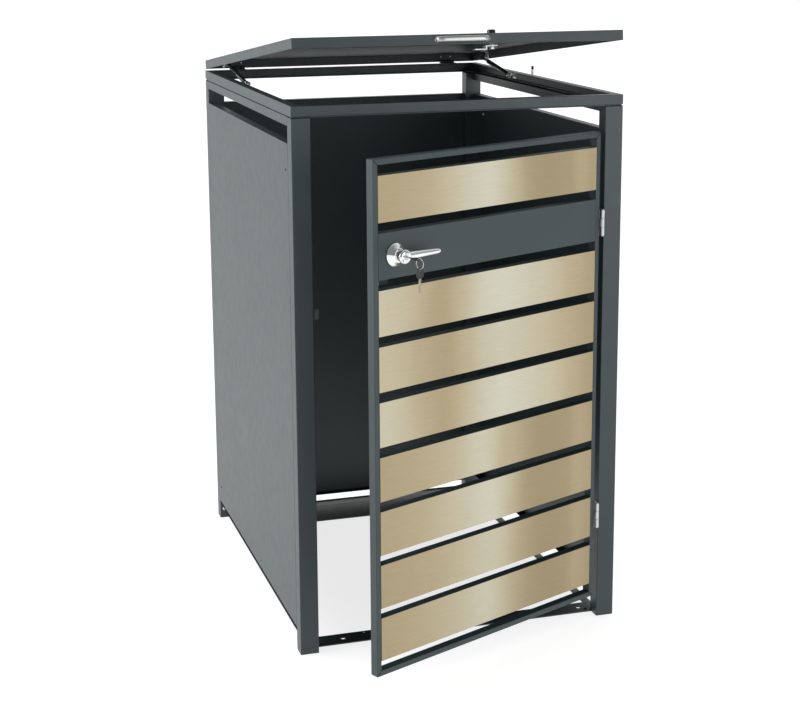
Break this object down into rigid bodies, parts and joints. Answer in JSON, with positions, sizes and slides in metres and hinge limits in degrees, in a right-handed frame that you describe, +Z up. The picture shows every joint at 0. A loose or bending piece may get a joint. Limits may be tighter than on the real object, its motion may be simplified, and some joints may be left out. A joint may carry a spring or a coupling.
{
  "type": "bin enclosure",
  "caption": "Steel enclosure for one wheeled refuse bin, with a hinged slatted door, a lever lock, and a rear-hinged lid held up by gas struts.",
  "frame": {"origin": "centre of the underside of the front floor plate, on the ground between the front posts", "axes": "+Z up, +Y from the door side towards the back, +X to the right seen from the front"},
  "size_m": [0.724, 1.2583, 1.3144],
  "materials": {
    "anthracite": "fine-textured anthracite powder coat on sheet steel",
    "champagne": "champagne-toned brushed sheet, grain along the slat",
    "bare_steel": "bare stainless or zinc-plated steel",
    "chrome": "polished",
    "black": "black plastic, rubber or black-lacquered steel"
  },
  "bodies": {
    "enclosure": {"post_front_left": "anthracite", "post_front_right": "anthracite", "post_rear_left": "anthracite", "post_rear_right": "anthracite", "side_panel_left": "anthracite", "side_panel_right": "anthracite", "back_panel": "anthracite", "upper_rail_left": "anthracite", "upper_rail_right": "anthracite", "top_frame": "anthracite", "floor_plate_front": "anthracite", "floor_plate_rear": "anthracite", "floor_rail_rear": "anthracite", "floor_strip_left": "anthracite", "floor_strip_right": "anthracite", "door_stop": "bare_steel", "door_stop_pad": "black", "door_hinge_lower_post": "bare_steel", "door_hinge_upper_post": "bare_steel", "lid_hinge_left_base": "bare_steel", "lid_hinge_right_base": "bare_steel", "strut_left_bracket": "bare_steel", "strut_right_bracket": "bare_steel", "lid_rest_pin": "black"},
    "door": {"door_rail_bottom": "anthracite", "door_stile_hinge": "anthracite", "door_rail_top": "anthracite", "door_stile_free": "anthracite", "slat_1": "champagne", "slat_3": "champagne", "slat_4": "champagne", "slat_5": "champagne", "slat_6": "champagne", "slat_7": "champagne", "slat_8": "champagne", "slat_9": "champagne", "lock_slat": "anthracite", "door_hinge_lower_leaf": "bare_steel", "door_hinge_upper_leaf": "bare_steel", "lock_rosette": "chrome"},
    "lever": {"lock_lever": "chrome", "lock_cam": "anthracite"},
    "key": {"lock_key": "black"},
    "ring": {"key_ring": "bare_steel", "spare_key": "black"},
    "lid": {"lid_pan": "anthracite", "lid_handle": "bare_steel", "lid_hinge_left_leaf": "bare_steel", "lid_hinge_right_leaf": "bare_steel", "strut_left_lid_bracket": "bare_steel", "strut_right_lid_bracket": "bare_steel"},
    "lid_lock": {"lid_lock_knob": "black", "lid_lock_cam": "bare_steel"},
    "strut_left_tube": {"strut_left_cylinder": "black"},
    "strut_left_piston": {"strut_left_rod": "bare_steel"},
    "strut_right_tube": {"strut_right_cylinder": "black"},
    "strut_right_piston": {"strut_right_rod": "bare_steel"}
  },
  "joints": [
    {"name": "door_hinge", "type": "hinge", "parent": "enclosure", "child": "door", "pos_m": [0.3175, -0.0555, 0.5], "axis": [0, 0, 1], "range_deg": [-24, 86]},
    {"name": "lever_turn", "type": "hinge", "parent": "door", "child": "lever", "pos_m": [-0.21693, -0.28852, 0.90765], "axis": [-0.4067, 0.9135, 0], "range_deg": [0, 90]},
    {"name": "key_turn", "type": "hinge", "parent": "lever", "child": "key", "pos_m": [-0.21693, -0.28852, 0.90765], "axis": [-0.4067, 0.9135, 0], "range_deg": [0, 90]},
    {"name": "ring_swing", "type": "hinge", "parent": "key", "child": "ring", "pos_m": [-0.18886, -0.35155, 0.90765], "axis": [0.9135, 0.4067, 0], "range_deg": [-60, 8]},
    {"name": "lid_hinge", "type": "hinge", "parent": "enclosure", "child": "lid", "pos_m": [0, 0.881, 1.1785], "axis": [-1, 0, 0], "range_deg": [-6.75, 42]},
    {"name": "lid_lock_turn", "type": "hinge", "parent": "lid", "child": "lid_lock", "pos_m": [0.083, 0.00015, 1.28276], "axis": [0, 0.1175, 0.9931], "range_deg": [0, 90]},
    {"name": "strut_left_tilt", "type": "hinge", "parent": "enclosure", "child": "strut_left_tube", "pos_m": [-0.328, 0.537, 1.168], "axis": [1, 0, 0], "range_deg": [-4, 19]},
    {"name": "strut_left_slide", "type": "slide", "parent": "strut_left_tube", "child": "strut_left_piston", "axis": [0, 0.9897, 0.1434], "range_m": [-0.013, 0.077]},
    {"name": "strut_right_tilt", "type": "hinge", "parent": "enclosure", "child": "strut_right_tube", "pos_m": [0.328, 0.537, 1.168], "axis": [1, 0, 0], "range_deg": [-4, 19]},
    {"name": "strut_right_slide", "type": "slide", "parent": "strut_right_tube", "child": "strut_right_piston", "axis": [0, 0.9897, 0.1434], "range_m": [-0.013, 0.077]}
  ],
  "couplings": [
    {"joint": "strut_left_tilt", "follows": "lid_hinge", "ratio": 0.40871},
    {"joint": "strut_left_slide", "follows": "lid_hinge", "m_per_rad": 0.10065},
    {"joint": "strut_right_tilt", "follows": "lid_hinge", "ratio": 0.40871},
    {"joint": "strut_right_slide", "follows": "lid_hinge", "m_per_rad": 0.10065}
  ]
}
